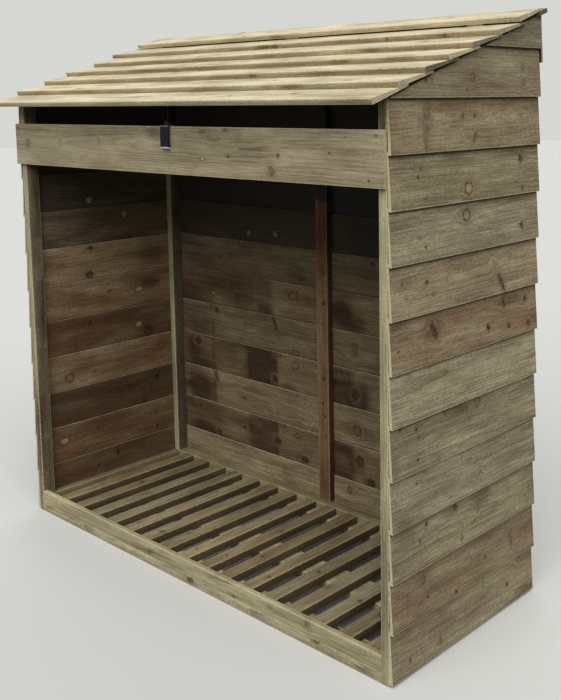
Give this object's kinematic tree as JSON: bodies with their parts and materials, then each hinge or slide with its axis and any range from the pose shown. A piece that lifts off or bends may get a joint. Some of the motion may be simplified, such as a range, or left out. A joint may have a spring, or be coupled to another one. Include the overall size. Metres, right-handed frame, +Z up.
{
  "type": "log store",
  "caption": "Open fronted timber log store with lapped board sides and back, a slatted floor on bearers, a fascia board and a lean-to roof of lapped boards.",
  "frame": {"origin": "bottom centre of the whole store's box, on the ground", "axes": "+X to the right as seen from the open front, +Y from the front to the back, +Z up"},
  "size_m": [1.893, 0.8248, 1.8699],
  "materials": {
    "post_wood": "planed softwood, pressure treated, greenish tan",
    "cladding_wood": "rough sawn featheredge boards, weathered olive tan",
    "back_wood": "rough sawn featheredge boards, brown",
    "roof_wood": "rough sawn featheredge boards, dry pale cream",
    "floor_wood": "planed softwood slats, tan",
    "rail_wood": "planed softwood, pale yellow green",
    "bearer_wood": "sawn softwood with waney edges, tan",
    "fascia_wood": "planed softwood board, tan",
    "batten_wood": "sawn softwood batten, orange brown",
    "clip_metal": "black painted sheet steel"
  },
  "bodies": {
    "root": {"left_front_post": "post_wood", "right_front_post": "post_wood", "left_rear_post": "post_wood", "right_rear_post": "post_wood", "left_bottom_rail": "rail_wood", "right_bottom_rail": "rail_wood", "back_batten": "batten_wood", "front_bearer_left": "bearer_wood", "front_bearer_right": "bearer_wood", "middle_bearer": "bearer_wood", "rear_bearer": "bearer_wood", "front_rail": "rail_wood", "rear_rail": "rail_wood", "floor_slats": "floor_wood", "left_cladding": "cladding_wood", "right_cladding": "cladding_wood", "back_cladding": "back_wood", "fascia": "fascia_wood", "fascia_clip": "clip_metal", "rear_roof_batten": "batten_wood", "roof_board_1": "roof_wood", "roof_board_2": "roof_wood", "roof_board_3": "roof_wood", "roof_board_4": "roof_wood", "roof_board_5": "roof_wood", "roof_board_6": "roof_wood", "roof_board_7": "roof_wood", "left_roof_batten": "batten_wood", "left_roof_packer": "batten_wood", "centre_roof_batten": "batten_wood", "centre_roof_packer": "batten_wood", "right_roof_batten": "batten_wood", "right_roof_packer": "batten_wood"}
  },
  "joints": []
}
